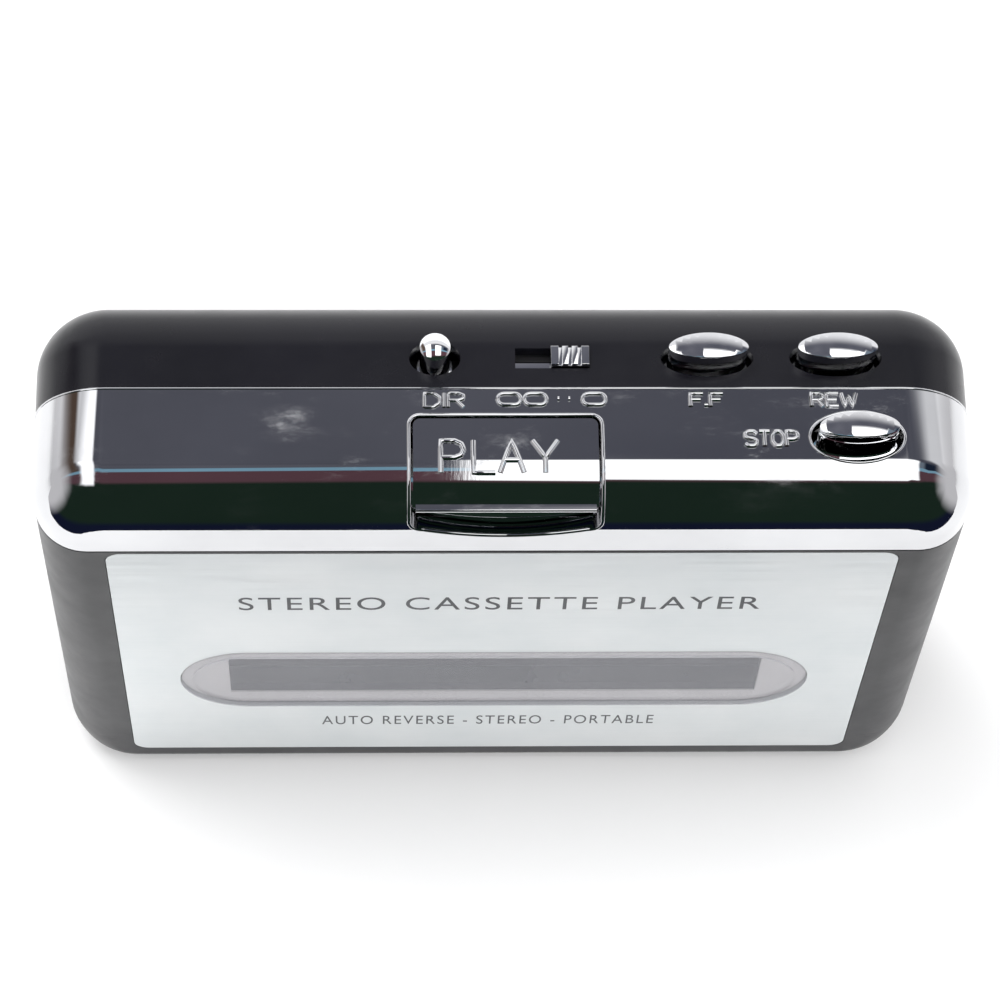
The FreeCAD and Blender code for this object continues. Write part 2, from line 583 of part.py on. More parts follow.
def belt_circles():
    """What the belt runs over, in order: centre, wrap radius, and +1 inside the loop or -1 outside it."""
    groove_r = FLYWHEEL_R - 1.0
    return [
        (MOTOR_X, MOTOR_Z, MOTOR_PULLEY_R + BELT_GAP, 1),
        (IDLER_X, IDLER_Z, IDLER_R + BELT_GAP, 1),
        (CAPSTAN_X, CAPSTAN_Z, groove_r + BELT_GAP + BELT_T, -1),
        (-CAPSTAN_X, CAPSTAN_Z, groove_r + BELT_GAP, 1),
    ]


def tangent(a, b, grow):
    """Where the belt leaves circle a and meets circle b. grow is added on the belt's outer side."""
    ax, az, ar, asign = a
    bx, bz, br, bsign = b
    ra, rb = asign * ar + grow, bsign * br + grow
    dx, dz = bx - ax, bz - az
    distance = math.hypot(dx, dz)
    turn = math.atan2(dz, dx) - math.acos((ra - rb) / distance)
    nx, nz = math.cos(turn), math.sin(turn)
    return (ax + ra * nx, az + ra * nz), (bx + rb * nx, bz + rb * nz)


def belt_wire(grow):
    circles = belt_circles()
    count = len(circles)
    spans = [tangent(circles[n], circles[(n + 1) % count], grow) for n in range(count)]
    edges = []
    for n in range(count):
        leave, meet = spans[n]
        after = spans[(n + 1) % count][0]
        x, z, r, sign = circles[(n + 1) % count]
        edges.append(Part.makeLine(V(leave[0], BELT_Y[0], leave[1]), V(meet[0], BELT_Y[0], meet[1])))
        start = math.atan2(meet[1] - z, meet[0] - x)
        end = math.atan2(after[1] - z, after[0] - x)
        sweep = (end - start) % (2 * math.pi) if sign > 0 else -((start - end) % (2 * math.pi))
        radius = abs(sign * r + grow)
        middle = start + sweep / 2
        mid_point = V(x + radius * math.cos(middle), BELT_Y[0], z + radius * math.sin(middle))
        first, last = V(meet[0], BELT_Y[0], meet[1]), V(after[0], BELT_Y[0], after[1])
        edges.append(Part.Arc(first, mid_point, last).toShape())
    return Part.Wire(edges)


def drive_belt():
    """Flat rubber belt. One flywheel is inside its loop and one outside, so they turn opposite ways."""
    outer = Part.Face(belt_wire(BELT_T))
    inner = Part.Face(belt_wire(0.0))
    return outer.cut(inner).extrude(V(0, BELT_Y[1] - BELT_Y[0], 0))


# ---- head assembly -------------------------------------------------------------------------------
def head_plate():
    """Sliding steel plate that carries the head and the pinch roller arms."""
    plate = box(-35.0, 35.0, -0.8, -0.1, 67.4, 74.5)
    mouth = [box(s * CAPSTAN_X - 4.6, s * CAPSTAN_X + 4.6, -2, 1, 66, 69.6) for s in (-1, 1)]
    slots = [box(s * 12.0 - 1.1, s * 12.0 + 1.1, -2, 1, 69.2, 72.6) for s in (-1, 1)]
    tab = box(-7.0, 7.0, -3.4, -0.1, 73.7, 74.5)
    pivots = [rod_y(s * ARM_PIVOT_X, ARM_PIVOT_Z, 1.0, -3.2, -0.1) for s in (-1, 1)]
    plate = cut(plate, *mouth, *slots)
    return joined([plate, tab] + pivots)


def tape_head():
    """Stereo playback head: a can with a curved face and a gap line."""
    can = box(-6.0, 6.0, -11.2, -3.0, 68.4, 73.6)
    face = rod_y(0, 76.6, 9.4, -11.2, -3.0).common(box(-6, 6, -12, -2, 66.9, 69.0))
    slit = box(-0.1, 0.1, -12, -2, 66.9, 67.4)
    notch_side = box(-2.2, 2.2, -7.6, -6.6, 66, 67.6)
    return cut(joined([can, face]), slit, notch_side)


def head_mount():
    """Bent bracket between the head and the sliding plate."""
    back = box(-8.5, 8.5, -1.8, -0.8, 68.0, 73.6)
    arm = box(-6.0, 6.0, -3.0, -1.8, 69.0, 73.0)
    fork = [box(s * 7.5 - 1.0, s * 7.5 + 1.0, -10.5, -1.8, 67.4, 68.0) for s in (-1, 1)]
    cheeks = [box(s * 7.5 - 1.0, s * 7.5 + 1.0, -2.6, -1.8, 67.4, 70.0) for s in (-1, 1)]
    screw_holes = [rod_y(s * 7.4, 72.0, 0.55, -5, 0) for s in (-1, 1)]
    return cut(joined([back, arm] + fork + cheeks), *screw_holes)


def head_screw(side):
    """Cross-head screw that sets the head's tilt."""
    x, z = side * 7.4, 72.0
    body = joined([rod_y(x, z, 0.55, -1.8, -0.8), rod_y(x, z, 1.0, -2.5, -1.8)])
    slot = box(x - 0.75, x + 0.75, -3, -2.25, z - 0.12, z + 0.12)
    cross = box(x - 0.12, x + 0.12, -3, -2.25, z - 0.75, z + 0.75)
    return cut(body, slot, cross)


def pinch_arm(side):
    """Lever that presses a rubber roller on its capstan."""
    px, pz = ARM_PIVOT_X, ARM_PIVOT_Z
    rx, rz = CAPSTAN_X, ROLLER_Z
    length = math.hypot(px - rx, pz - rz)
    bar = box(0, length, -2.5, -1.6, -1.5, 1.5)
    bar.rotate(V(0, 0, 0), V(0, 1, 0), -math.degrees(math.atan2(rz - pz, rx - px)))
    bar.translate(V(px, 0, pz))
    pivot = rod_y(px, pz, 2.0, -2.5, -1.0)
    eye = rod_y(rx, rz, 1.8, -2.5, -1.6)
    axle = rod_y(rx, rz, 0.75, -9.4, -1.6)
    keeper = rod_y(rx, rz, 1.4, -9.8, -9.3)
    arm = cut(joined([bar, pivot, eye, axle, keeper]), rod_y(px, pz, 1.05, -5, 1))
    return arm if side > 0 else mirrored(arm)


def pinch_roller(side):
    """Rubber tyre on a metal sleeve."""
    x, z = side * CAPSTAN_X, ROLLER_Z
    tyre = rod_y(x, z, ROLLER_R, -9.0, -2.9)
    tyre = rounded(tyre, 0.4, lambda e: e.BoundBox.YLength < 1e-6)
    return cut(tyre, rod_y(x, z, 0.82, -12, 0))


# ---- keys ----------------------------------------------------------------------------------------
def oval_key(x, y, groove=False):
    """Domed oval cap on a flat stem. A groove may run round the cap below its top."""
    top = HEIGHT + CAP_RISE
    cap = oval_z(x, y, OVAL_W, OVAL_D, HEIGHT - 2.4, top + 1.0)
    cap = cap.common(Part.makeSphere(CAP_DOME_R, V(x, y, top - CAP_DOME_R)))
    if groove:
        z0, z1 = top - GROOVE_DROP - GROOVE_H, top - GROOVE_DROP
        waist = oval_z(x, y, OVAL_W - 0.7, OVAL_D - 0.7, z0 - 1, z1 + 1)
        cap = cut(cap, oval_z(x, y, OVAL_W + 1, OVAL_D + 1, z0, z1).cut(waist))
    lip = oval_z(x, y, OVAL_W + 0.5, OVAL_D + 0.5, HEIGHT - 3.0, HEIGHT - 2.4)
    stem = box(x - 1.9, x + 1.9, y - 0.7, y + 0.7, STEM_BASE_Z, HEIGHT - 3.0)
    return joined([cap, lip, stem])


def direction_key():
    """Round key with a domed end."""
    top = HEIGHT + CAP_RISE
    cap = rod_z(DIRECTION_X, STRIP_Y, DIRECTION_R, HEIGHT - 2.4, top + 0.6)
    cap = cap.common(Part.makeSphere(3.2, V(DIRECTION_X, STRIP_Y, top - 3.2)).fuse(
        rod_z(DIRECTION_X, STRIP_Y, 4, HEIGHT - 4, top - 2.6)))
    collar = rod_z(DIRECTION_X, STRIP_Y, DIRECTION_R + 0.3, HEIGHT - 3.0, HEIGHT - 2.4)
    stem = rod_z(DIRECTION_X, STRIP_Y, 1.1, STEM_BASE_Z, HEIGHT - 3.0)
    return joined([cap, collar, stem])


def play_key(outer):
    """Broad key that follows the trim's rounding, with a ledge for the finger, on a flat stem."""
    blank = notch(PLAY_HALF_W, PLAY_BACK_Y, PLAY_BASE_Z, 0.9, 0.9, PLAY_BOW_R)
    skin = 1.3
    core = envelope(skin)
    cap = outer.common(blank).cut(core)
    stem = box(-7.5, 7.5, -5.6, -4.4, 74.7, HEIGHT - skin)
    ribs = [box(x - 0.5, x + 0.5, -8.4, -5.6, 77.0, HEIGHT - skin) for x in (-6.5, 6.5)]
    ledge = box(-10.8, 10.8, *PLAY_LEDGE_Y, *PLAY_LEDGE_Z)
    front = PLAY_LEDGE_Y[0] + 0.01
    ledge = rounded(ledge, 0.2, lambda e: e.BoundBox.XLength > 15 and e.BoundBox.YMax < front)
    return joined([cap, stem, ledge] + ribs)


def mode_switch_body():
    """Small slide switch under the top strip, with its metal frame."""
    case = box(MODE_X - 5.6, MODE_X + 5.6, STRIP_Y - 2.3, STRIP_Y + 2.3, 77.2, 79.6)
    rail = box(MODE_X - 4.6, MODE_X + 4.6, STRIP_Y - 0.7, STRIP_Y + 0.7, 78.4, 80)
    return cut(case, rail)


def mode_knob():
    """Ribbed slider at the right end of its slot, with a thin tail that fills part of the slot."""
    x1 = MODE_X + MODE_W / 2 - 0.1
    x0 = x1 - MODE_KNOB_W
    knob = box(x0, x1, STRIP_Y - MODE_D / 2 + 0.12, STRIP_Y + MODE_D / 2 - 0.12, 79.7, HEIGHT + 0.9)
    foot = box(x0 + 1.3, x1 - 1.3, STRIP_Y - 0.6, STRIP_Y + 0.6, 78.5, 79.7)
    tail = box(x0 - 4.3, x0 + 0.2, STRIP_Y - 1.0, STRIP_Y + 0.3, 79.75, 80.1)
    grooves = []
    for n in range(3):
        x = x0 + MODE_KNOB_W * (n + 1) / 4
        grooves.append(box(x - 0.22, x + 0.22, STRIP_Y - 3, STRIP_Y + 3, HEIGHT + 0.45, HEIGHT + 2))
    return joined([cut(knob, *grooves), foot, tail])


# ---- board, power and sockets --------------------------------------------------------------------
def main_board():
    board = box(-46.5, 30.5, BOARD_Y[0], BOARD_Y[1], 19.0, 66.0)
    corner = box(-60, -41.0, 5, 15, 41.0, 59.0)
    holes = [rod_y(x, z, 1.1, 5, 15) for x, z in ((-36, 62.5), (26, 62.5), (-36, 22.0), (26, 22.0))]
    return cut(board, corner, *holes)


def board_parts():
    """Chips, capacitors and a crystal on the board's back."""
    y = BOARD_Y[1]
    chips = [box(x, x + w, y, y + 1.0, z, z + h) for x, z, w, h in
             ((-30, 30, 9, 9), (-8, 44, 6, 5), (8, 28, 7, 7), (-26, 50, 5, 4))]
    can_places = ((-14, 26, 2.0), (-2, 56, 2.0), (18, 46, 2.5), (18, 54, 1.6))
    cans = [rod_y(x, z, r, y, y + 2.2) for x, z, r in can_places]
    crystal = box(-16, -10, y, y + 1.6, 36, 38.4)
    return Part.makeCompound(chips + cans + [crystal])


def battery_cells():
    """Two AA cells laid end to end, poles to the right."""
    cells = []
    for x0 in (-50.6, 0.0):
        can = rod_x(CELL_Y, CELL_Z, CELL_R, x0, x0 + CELL_BODY)
        can = rounded(can, 0.5, lambda e: e.BoundBox.XLength < 1e-6)
        nub = rod_x(CELL_Y, CELL_Z, 2.7, x0 + CELL_BODY - 0.1, x0 + CELL_BODY + CELL_NUB)
        cells.append(joined([can, nub]))
    return Part.makeCompound(cells)


def battery_spring():
    """Conical contact spring at the negative end, with its plate."""
    plate = box(-53.0, -52.6, CELL_Y - 5, CELL_Y + 5, CELL_Z - 5, CELL_Z + 5)
    rings = []
    for n in range(3):
        ring = Part.makeTorus(4.2 - 0.9 * n, 0.32, V(-52.3 + 0.62 * n, CELL_Y, CELL_Z), V(1, 0, 0))
        rings.append(ring)
    return joined([plate, rings[0]]), rings[1:]


def battery_contact():
    """Pressed contact at the positive end."""
    plate = box(52.6, 53.0, CELL_Y - 5, CELL_Y + 5, CELL_Z - 5, CELL_Z + 5)
    dimple = rod_x(CELL_Y, CELL_Z, 2.4, 50.5, 52.6)
    return joined([plate, cut(dimple, rod_x(CELL_Y, CELL_Z, 1.9, 50.9, 52.6))])


def battery_cover_blank(grow):
    z0, z1 = COVER_Z
    half_w = COVER_HALF_W + grow
    body = box(-half_w, half_w, BACK - COVER_T - grow, BACK + 1, z0 - grow, z1 + grow)
    return body


def battery_cover(outer):
    """Sliding cover flush with the back, with a ribbed thumb patch and two rails."""
    z0, z1 = COVER_Z
    cover = battery_cover_blank(0.0).common(outer)
    ribs = []
    for n in range(6):
        x = COVER_HALF_W - 16 + 1.8 * n
        ribs.append(box(x, x + 0.8, BACK - 0.4, BACK + 1, 6.0, 13.5))
    return cut(cover, *ribs)


def headphone_jack():
    """Square body with a threaded-looking nose that reaches through the side wall."""
    body = box(44.4, 54.4, JACK_Y - 2.9, JACK_Y + 2.9, JACK_Z - 3.2, JACK_Z + 3.2)
    nose = rod_x(JACK_Y, JACK_Z, 3.0, 54.4, 57.2)
    return cut(joined([body, nose]), rod_x(JACK_Y, JACK_Z, JACK_BORE_R, 45.6, 60))


def usb_socket():
    """Small folded metal socket with its tongue."""
    y0, y1, z0, z1 = USB_Y - 2.0, USB_Y + 2.0, USB_Z - 3.9, USB_Z + 3.9
    shell = box(-56.9, -48.0, y0, y1, z0, z1)
    mouth = box(-60, -49.0, y0 + 0.4, y1 - 0.4, z0 + 0.4, z1 - 0.4)
    tongue = box(-56.0, -49.0, USB_Y - 0.5, USB_Y + 0.5, USB_Z - 2.6, USB_Z + 2.6)
    root = box(-49.2, -48.5, USB_Y - 0.5, USB_Y + 0.5, USB_Z - 2.6, USB_Z + 2.6)
    return joined([cut(shell, mouth), tongue, root])


def volume_wheel():
    """Thumb wheel with a knurled rim."""
    wheel = rod_y(WHEEL_X, WHEEL_Z, WHEEL_R, WHEEL_Y[0], WHEEL_Y[1])
    flutes = []
    for n in range(36):
        a = 2 * math.pi * n / 36
        x, z = WHEEL_X + (WHEEL_R + 0.15) * math.cos(a), WHEEL_Z + (WHEEL_R + 0.15) * math.sin(a)
        flutes.append(rod_y(x, z, 0.38, 0, 12))
    return cut(wheel, rod_y(WHEEL_X, WHEEL_Z, 1.0, 0, 12), *flutes)


def volume_pot():
    """Potentiometer under the wheel, with the stub that the wheel turns on."""
    base = rod_y(WHEEL_X, WHEEL_Z, 5.0, WHEEL_Y[1] + 0.2, WHEEL_Y[1] + 2.6)
    stub = rod_y(WHEEL_X, WHEEL_Z, 0.94, WHEEL_Y[0] - 0.2, WHEEL_Y[1] + 0.2)
    head = rod_y(WHEEL_X, WHEEL_Z, 1.6, WHEEL_Y[0] - 0.6, WHEEL_Y[0] - 0.15)
    leg = box(WHEEL_X + 3.0, WHEEL_X + 7.8, WHEEL_Y[1] + 1.0, WHEEL_Y[1] + 2.2, WHEEL_Z - 3, WHEEL_Z + 3)
    return joined([base, stub, head, leg])


# ---- screws and pins -----------------------------------------------------------------------------
def case_screw(x, z):
    """Cross-head screw sunk in the back."""
    head = rod_y(x, z, 1.7, BACK - 1.9, BACK - 0.7)
    shank = rod_y(x, z, 0.8, 0.1, BACK - 1.9)
    slot = box(x - 1.1, x + 1.1, BACK - 1.3, BACK, z - 0.18, z + 0.18)
    cross = box(x - 0.18, x + 0.18, BACK - 1.3, BACK, z - 1.1, z + 1.1)
    return cut(joined([head, shank]), slot, cross)


def deck_screw(x, z):
    head = rod_y(x, z, 1.2, DECK_Y[1], DECK_Y[1] + 0.45)
    return joined([head, rod_y(x, z, 0.55, DECK_Y[0] + 0.05, DECK_Y[1])])


def guide_pin(side):
    """Pin with a round nose that locates the cassette."""
    x = side * 33.5
    shank = rod_y(x, 61.5, 1.05, -7.0, DECK_Y[1])
    nose = Part.makeSphere(1.05, V(x, -7.0, 61.5))
    return joined([shank, nose])


def nodes():
    outer, inner = envelope(0.0), envelope(WALL)
    pinion_turn, _, reel_turn = meshing_turns()
    idle_x, idle_z, _ = gear_line()
    spring, coils = battery_spring()
    made = {
        "rear_shell": rear_shell(outer, inner),
        "chrome_trim": chrome_trim(outer, inner),
        "door_frame": door_frame(outer, inner),
        "door_plate": door_plate(),
        "window_lens": window_lens(),
        "window_mask": window_mask(),
        "door_hinge_pins": both_sides(door_hinge_pin()),
        "cassette_guides": both_sides(cassette_guide()),
        "pressure_springs": both_sides(pressure_spring()),
        "door_latches": both_sides(door_latch()),
        "deck_plate": deck_plate(),
        "battery_frame": battery_frame(),
        "flywheel_bridge": flywheel_bridge(),
        "key_guide": key_guide(),
        "reel_hub_left": reel_hub(-REEL_X),
        "reel_hub_right": reel_hub(REEL_X),
        "reel_gear_left": reel_gear(-REEL_X, 0.0),
        "reel_gear_right": reel_gear(REEL_X, reel_turn),
        "reel_bracket": reel_bracket(),
        "idle_gear": idle_gear(),
        "idle_gear_stud": gear_stud(idle_x, idle_z),
        "flywheel_left": flywheel(-1, 0.0),
        "flywheel_right": flywheel(1, pinion_turn),
        "capstan_left": capstan(-1),
        "capstan_right": capstan(1),
        "capstan_bushes": Part.makeCompound([capstan_bush(-1), capstan_bush(1)]),
        "motor": motor(),
        "motor_standoffs": motor_standoffs(),
        "motor_pulley": motor_pulley(),
        "belt_idler": pulley(IDLER_X, IDLER_Z, IDLER_R, 0.86),
        "belt_idler_post": idler_post(),
        "drive_belt": drive_belt(),
        "head_plate": head_plate(),
        "tape_head": tape_head(),
        "head_mount": head_mount(),
        "head_screws": Part.makeCompound([head_screw(-1), head_screw(1)]),
        "pinch_arm_left": pinch_arm(-1),
        "pinch_arm_right": pinch_arm(1),
        "pinch_roller_left": pinch_roller(-1),
        "pinch_roller_right": pinch_roller(1),
        "play_key": play_key(outer),
        "stop_key": oval_key(STOP_X, STOP_Y, groove=True),
        "wind_key": oval_key(WIND_X, STRIP_Y),
        "rewind_key": oval_key(REWIND_X, STRIP_Y),
        "direction_key": direction_key(),
        "mode_switch_body": mode_switch_body(),
        "mode_knob": mode_knob(),
        "main_board": main_board(),
        "board_parts": board_parts(),
        "battery_cells": battery_cells(),
        "battery_spring": Part.makeCompound([spring] + coils),
        "battery_contact": battery_contact(),
        "battery_cover": battery_cover(outer),
        "headphone_jack": headphone_jack(),
        "usb_socket": usb_socket(),
        "volume_wheel": volume_wheel(),
        "volume_pot": volume_pot(),
        "case_screws": Part.makeCompound([case_screw(x, z) for x, z in SCREW_PLACES]),
        "deck_screws": Part.makeCompound([deck_screw(x, z) for x, z in deck_screw_places()]),
        "guide_pins": Part.makeCompound([guide_pin(-1), guide_pin(1)]),
    }
    return made


def main():
    os.makedirs("parts", exist_ok=True)
    for name, shape in nodes().items():
        good = shape.isValid() and all(s.isClosed() for s in shape.Solids) and shape.Solids
        if not good:
            print("PROBLEM", name, "valid", shape.isValid(), "solids", len(shape.Solids))
        shape.exportStep(f"parts/{name}.step")
        print(f"{name}: {len(shape.Solids)} solid(s), {shape.Volume:.1f} mm3")


main()
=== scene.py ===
import bpy
import json
import math
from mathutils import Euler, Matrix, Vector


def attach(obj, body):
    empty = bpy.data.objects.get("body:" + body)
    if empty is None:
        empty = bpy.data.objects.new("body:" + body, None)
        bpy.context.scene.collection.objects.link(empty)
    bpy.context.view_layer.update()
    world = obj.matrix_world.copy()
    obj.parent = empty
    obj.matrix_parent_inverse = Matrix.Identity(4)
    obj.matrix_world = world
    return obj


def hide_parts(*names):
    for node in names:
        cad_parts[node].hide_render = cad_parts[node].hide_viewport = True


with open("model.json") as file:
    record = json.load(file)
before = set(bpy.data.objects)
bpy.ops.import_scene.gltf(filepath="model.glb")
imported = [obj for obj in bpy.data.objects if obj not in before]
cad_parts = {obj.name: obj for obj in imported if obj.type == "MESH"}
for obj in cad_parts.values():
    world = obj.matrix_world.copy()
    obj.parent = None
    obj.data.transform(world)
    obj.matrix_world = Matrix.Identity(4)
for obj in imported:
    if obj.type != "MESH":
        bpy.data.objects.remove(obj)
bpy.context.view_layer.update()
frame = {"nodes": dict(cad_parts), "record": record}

nodes = frame["nodes"]
MM = 0.001

# ---- casing facts shared with the CAD, in millimetres ----
TOP_Z = 82.0
EDGE_R = 6.5                  # rounding along the top front edge
EDGE_Y = -15.0 + EDGE_R
EDGE_Z = TOP_Z - EDGE_R
PANEL_Y = -14.99              # printed marks start here, a hair behind the panel's face
PRINT_DEPTH = 0.02
SLEEVE_REPEAT = 0.0253        # half the length of a battery sleeve, in metres
SLEEVE_BAND = (0.010, 0.0102)   # where its end band begins and ends blending, in metres
LENS_GAP = 0.04               # between the lens and the film behind it
SAME_PLANE = 0.000001         # points closer than this, in metres, are on one plane
WELD_DISTANCE = 0.000002      # also in metres
SHARP_ANGLE = math.radians(32)   # edges sharper than this keep a hard corner


# ---- node-tree helpers ----
class Tree:
    """Small helper round one node tree."""

    def __init__(self, name):
        self.material = bpy.data.materials.new(name)
        self.material.use_nodes = True
        self.tree = self.material.node_tree
        self.shader = self.tree.nodes["Principled BSDF"]
        self.coordinates = self.tree.nodes.new("ShaderNodeTexCoord")

    def node(self, kind, **values):
        made = self.tree.nodes.new(kind)
        for key, value in values.items():
            if hasattr(made, key) and key not in made.inputs.keys():
                setattr(made, key, value)
            else:
                made.inputs[key.replace("_", " ")].default_value = value
        return made

    def link(self, a, b):
        self.tree.links.new(a, b)

    def set(self, **values):
        for key, value in values.items():
            self.shader.inputs[key.replace("_", " ")].default_value = value

    def noise(self, scale, detail=3.0, roughness=0.55, stretch=None):
        """Noise in object space; scale is in features per metre."""
        texture = self.node("ShaderNodeTexNoise")
        texture.inputs["Scale"].default_value = scale
        texture.inputs["Detail"].default_value = detail
        texture.inputs["Roughness"].default_value = roughness
        source = self.coordinates.outputs["Object"]
        if stretch:
            mapping = self.node("ShaderNodeMapping")
            mapping.inputs["Scale"].default_value = stretch
            self.link(source, mapping.inputs["Vector"])
            source = mapping.outputs["Vector"]
        self.link(source, texture.inputs["Vector"])
        return texture.outputs["Fac"]

    def ramp(self, source, low, high, at=(0.3, 0.7)):
        """Maps a 0 to 1 signal between two values or two colours."""
        if isinstance(low, (int, float)):
            ranged = self.node("ShaderNodeMapRange")
            ranged.inputs["From Min"].default_value = at[0]
            ranged.inputs["From Max"].default_value = at[1]
            ranged.inputs["To Min"].default_value = low
            ranged.inputs["To Max"].default_value = high
            self.link(source, ranged.inputs["Value"])
            return ranged.outputs["Result"]
        made = self.node("ShaderNodeValToRGB")
        made.color_ramp.elements[0].position = at[0]
        made.color_ramp.elements[1].position = at[1]
        made.color_ramp.elements[0].color = (*low, 1.0)
        made.color_ramp.elements[1].color = (*high, 1.0)
        self.link(source, made.inputs["Fac"])
        return made.outputs["Color"]

    def bump(self, height, distance, strength=1.0, after=None):
        made = self.node("ShaderNodeBump")
        made.inputs["Strength"].default_value = strength
        made.inputs["Distance"].default_value = distance
        self.link(height, made.inputs["Height"])
        if after is not None:
            self.link(after, made.inputs["Normal"])
        self.link(made.outputs["Normal"], self.shader.inputs["Normal"])
        return made.outputs["Normal"]


def plastic(name, dark, light, rough, grain, grain_depth, mottling=40.0):
    """Moulded plastic: fine spark-eroded grain, faint colour change and uneven gloss."""
    t = Tree(name)
    t.link(t.ramp(t.noise(mottling), dark, light), t.shader.inputs["Base Color"])
    t.link(t.ramp(t.noise(mottling * 6, 4), rough[0], rough[1]), t.shader.inputs["Roughness"])
    if grain_depth:
        t.bump(t.noise(grain, 2), grain_depth, 0.6)
    return t


def metal(name, dark, light, rough, stretch=(1, 1, 1), grain=900.0, depth=0.00001):
    """Bare or plated metal with a drawn or turned grain along the short axes of stretch."""
    t = Tree(name)
    t.set(Metallic=1.0)
    t.link(t.ramp(t.noise(60.0, 4), dark, light), t.shader.inputs["Base Color"])
    lines = t.noise(grain, 3, 0.6, stretch)
    t.link(t.ramp(lines, rough[0], rough[1]), t.shader.inputs["Roughness"])
    t.bump(lines, depth, 0.5)
    return t


# ---- materials ----
def chrome(name, dark, light, wave=0.000012):
    """Plated plastic: mirror finish with faint waves, fingerprints and hairline scratches."""
    t = metal(name, dark, light, (0.02, 0.05), (1, 1, 1), 30.0, 0.0)
    smears = t.noise(55.0, 6, 0.7, (1.0, 2.2, 1.4))
    prints = t.noise(420.0, 3, 0.6, (1.0, 3.0, 1.0))
    both = t.node("ShaderNodeMath", operation="MULTIPLY")
    t.link(t.ramp(smears, 0.0, 1.0, (0.52, 0.72)), both.inputs[0])
    t.link(prints, both.inputs[1])
    t.link(t.ramp(both.outputs[0], 0.025, 0.24, (0.05, 0.6)), t.shader.inputs["Roughness"])
    first = t.bump(t.noise(38.0, 2, 0.4), wave, 1.0)
    t.bump(t.noise(2600.0, 2, 0.5, (1.0, 0.08, 1.0)), 0.0000012, 0.5, first)
    return t.material


def panel_metal():
    """Satin lacquered sheet: pale, very fine horizontal grain."""
    t = metal("panel_satin", (0.70, 0.735, 0.745), (0.78, 0.80, 0.805), (0.34, 0.46),
              (0.02, 1, 1), 2600.0, 0.000003)
    t.set(Metallic=0.75)
    return t.material


def lens_material():
    t = plastic("lens_clear", (0.36, 0.365, 0.40), (0.42, 0.425, 0.46), (0.06, 0.14), 1500.0, 0.0)
    t.set(Alpha=0.3, Coat_Weight=0.5, Coat_Roughness=0.08)
    return t.material


def board_material():
    """Solder mask with copper tracks showing through as lighter lines."""
    t = plastic("board_mask", (0.012, 0.10, 0.04), (0.02, 0.17, 0.07), (0.25, 0.4), 900.0, 0.0)
    tracks = t.node("ShaderNodeTexBrick")
    tracks.inputs["Scale"].default_value = 260.0
    tracks.inputs["Mortar Size"].default_value = 0.035
    tracks.inputs["Color1"].default_value = (0.012, 0.10, 0.04, 1)
    tracks.inputs["Color2"].default_value = (0.016, 0.13, 0.05, 1)
    tracks.inputs["Mortar"].default_value = (0.03, 0.27, 0.11, 1)
    swap = t.node("ShaderNodeMapping")
    swap.inputs["Rotation"].default_value = (math.pi / 2, 0, 0)
    t.link(t.coordinates.outputs["Object"], swap.inputs["Vector"])
    t.link(swap.outputs["Vector"], tracks.inputs["Vector"])
    t.link(tracks.outputs["Color"], t.shader.inputs["Base Color"])
    return t.material


def cell_material():
    """Printed battery sleeve: a dark body and a copper coloured end band."""
    t = plastic("cell_sleeve", (0.03, 0.05, 0.12), (0.05, 0.08, 0.18), (0.2, 0.3), 700.0, 0.0)
    t.set(Metallic=0.4)
    split = t.node("ShaderNodeSeparateXYZ")
    t.link(t.coordinates.outputs["Object"], split.inputs[0])
    wrap = t.node("ShaderNodeMath", operation="PINGPONG")
    wrap.inputs[1].default_value = SLEEVE_REPEAT
    t.link(split.outputs["X"], wrap.inputs[0])
    band = t.ramp(wrap.outputs[0], 0.0, 1.0, SLEEVE_BAND)
    mix = t.node("ShaderNodeMix", data_type="RGBA")
    t.link(band, mix.inputs["Factor"])
    mix.inputs["A"].default_value = (0.62, 0.30, 0.12, 1)
    mix.inputs["B"].default_value = (0.03, 0.05, 0.12, 1)
    t.link(mix.outputs["Result"], t.shader.inputs["Base Color"])
    return t.material


def satin_black():
    """Smooth black moulding with a low sheen."""
    t = plastic("shell_black", (0.004, 0.004, 0.0065), (0.007, 0.0068, 0.0105), (0.22, 0.28), 2600.0, 0.0)
    t.set(Specular_IOR_Level=0.3)
    return t.material


